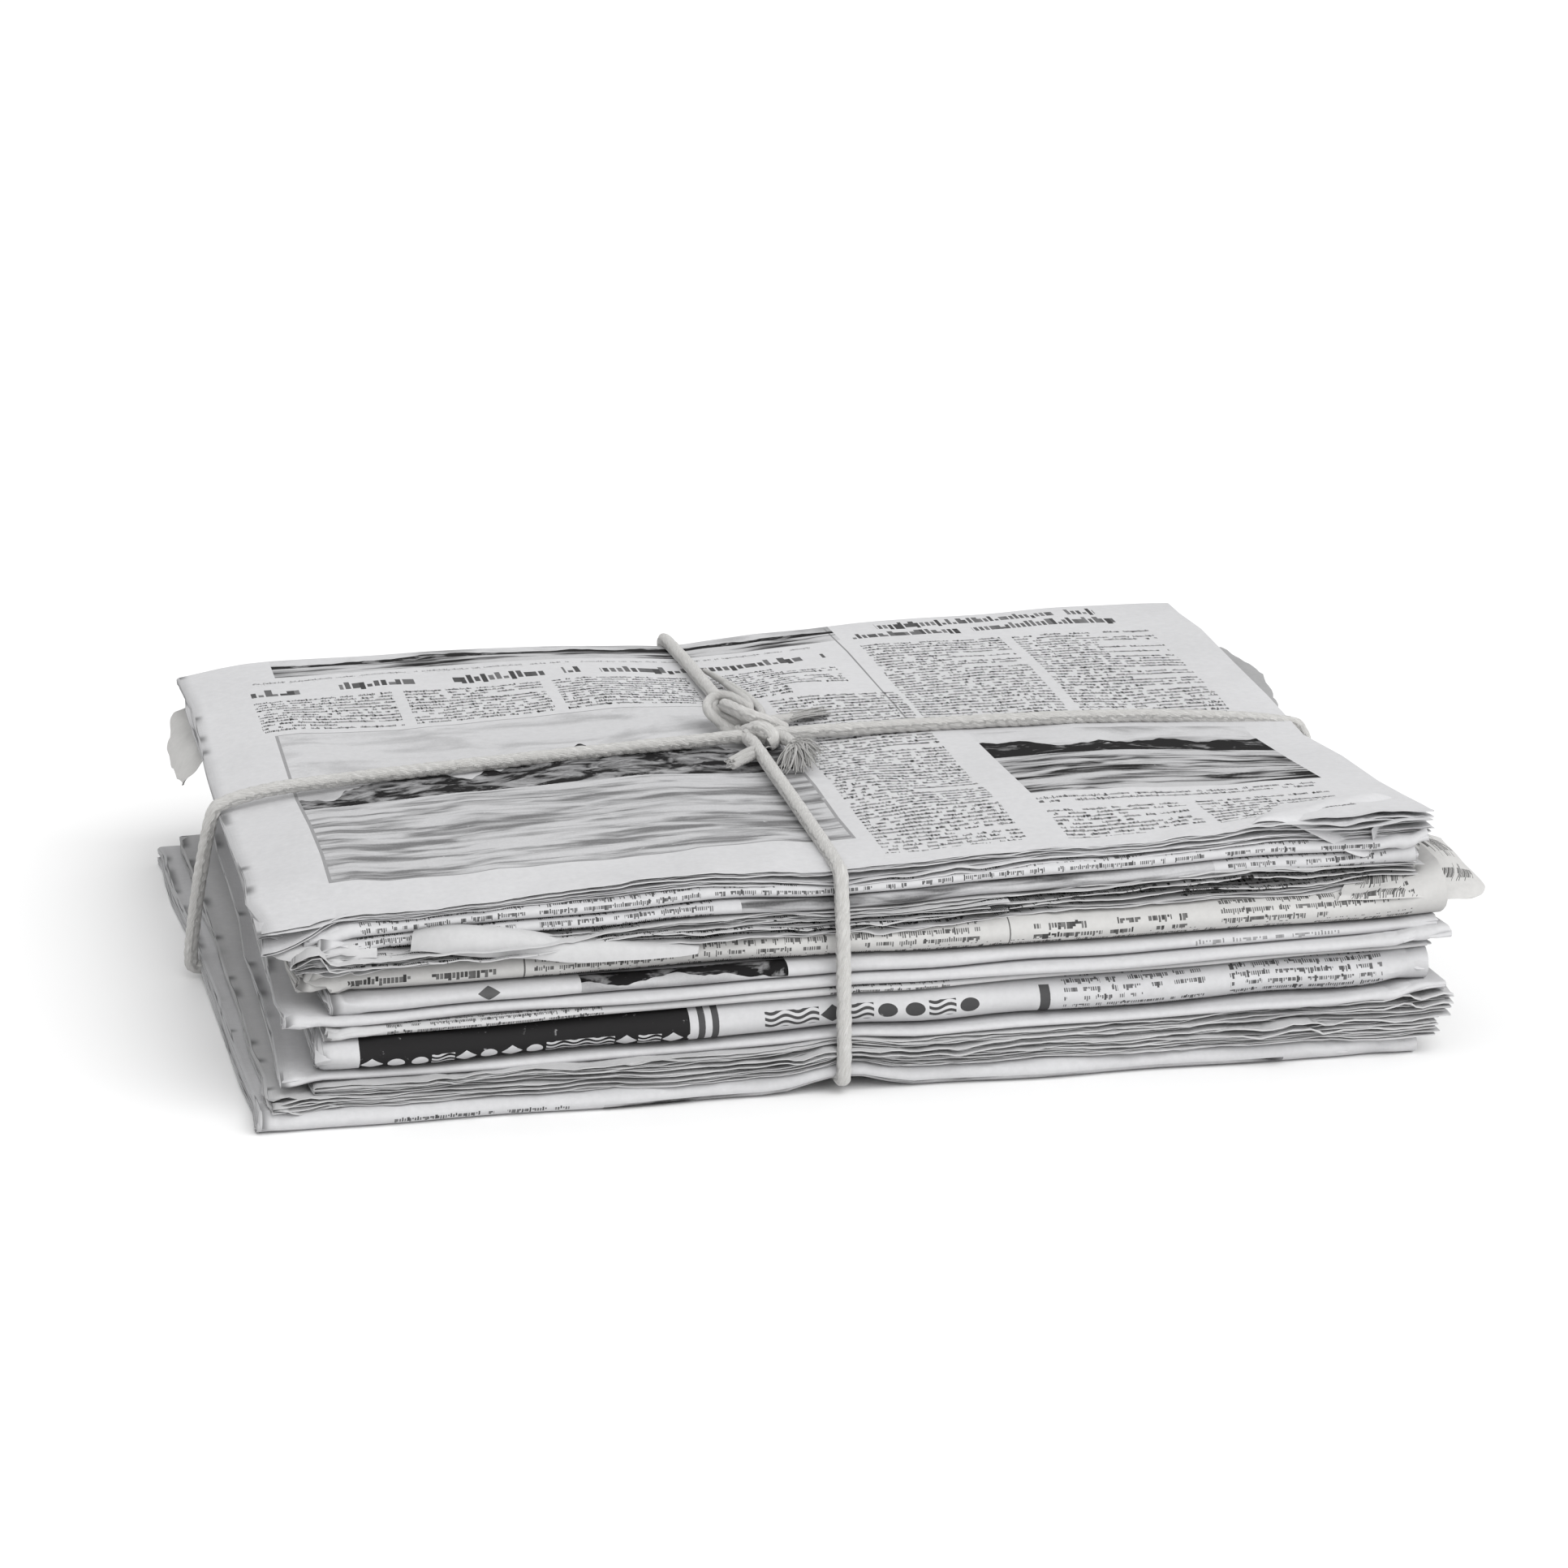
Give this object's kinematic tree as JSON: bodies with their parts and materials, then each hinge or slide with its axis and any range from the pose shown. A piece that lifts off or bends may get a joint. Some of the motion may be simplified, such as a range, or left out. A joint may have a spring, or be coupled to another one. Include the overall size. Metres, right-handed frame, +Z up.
{
  "type": "tied stack of folded newspapers",
  "caption": "Flat stack of folded newspapers tied crosswise with cotton string that is knotted on top.",
  "frame": {"origin": "middle of the footprint of the whole bundle, on the surface it rests on", "axes": "+X along the wide front side, towards the viewer's right; +Y away from the viewer, along the short side; +Z up through the stack, towards the knot"},
  "size_m": [0.3661, 0.3101, 0.0726],
  "materials": {
    "newsprint_top": "matt, printed",
    "newsprint_white": "matt",
    "newsprint_printed": "matt, heavily printed",
    "newsprint_grey": "matt",
    "newsprint_yellowed": "matt, slightly yellowed",
    "cotton_string": "loosely twisted, three strands"
  },
  "bodies": {
    "root": {"newspaper_01_top": "newsprint_top", "newspaper_02": "newsprint_white", "newspaper_03": "newsprint_printed", "newspaper_04": "newsprint_grey", "newspaper_05": "newsprint_yellowed", "newspaper_06": "newsprint_white", "newspaper_07": "newsprint_white", "newspaper_08": "newsprint_grey", "newspaper_09": "newsprint_printed", "newspaper_10": "newsprint_white", "newspaper_11": "newsprint_grey", "newspaper_12": "newsprint_grey", "newspaper_13_bottom": "newsprint_white", "string_lengthwise": "cotton_string", "string_crosswise": "cotton_string", "string_knot": "cotton_string", "string_tail_frayed": "cotton_string", "string_tail_tassel": "cotton_string", "string_tail_stub": "cotton_string"}
  },
  "joints": []
}
